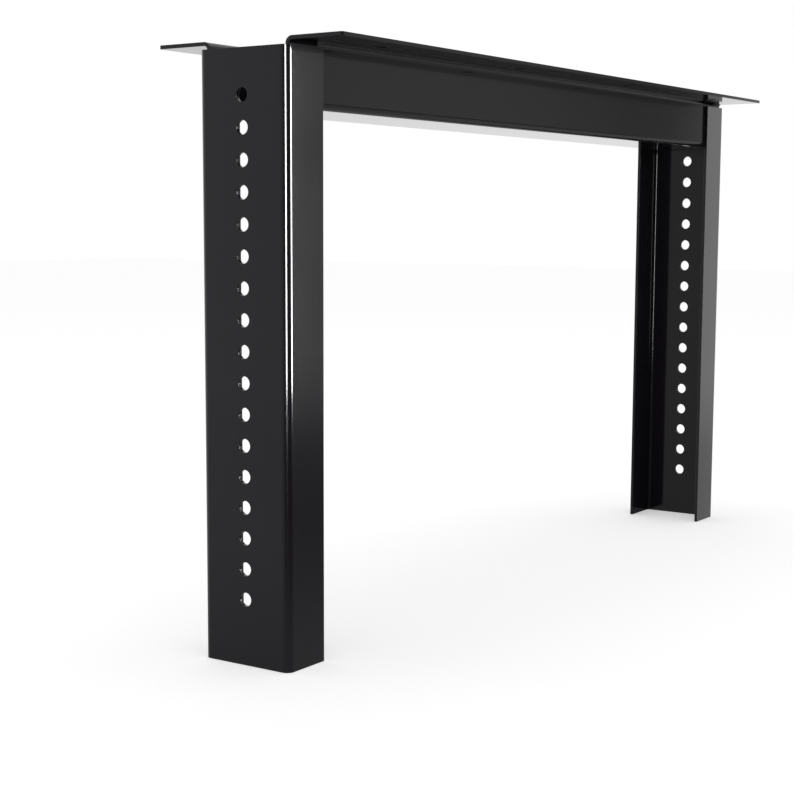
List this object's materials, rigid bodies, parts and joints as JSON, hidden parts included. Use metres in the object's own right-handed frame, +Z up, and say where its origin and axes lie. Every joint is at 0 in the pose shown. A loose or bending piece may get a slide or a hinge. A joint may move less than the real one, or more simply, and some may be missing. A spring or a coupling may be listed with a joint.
{
  "type": "sheet metal portal frame chassis",
  "caption": "Folded sheet portal frame: a top-hat beam with screw flanges held between two perforated channel legs.",
  "frame": {"origin": "on the floor, midway between the two legs", "axes": "+X along the beam, +Y across it, +Z up; the two long sides are alike, as are the two legs"},
  "size_m": [0.675, 0.146, 0.398],
  "materials": {
    "powder_coat": "gloss black powder coat"
  },
  "bodies": {
    "root": {"top_beam": "powder_coat", "left_leg": "powder_coat", "right_leg": "powder_coat"}
  },
  "joints": []
}
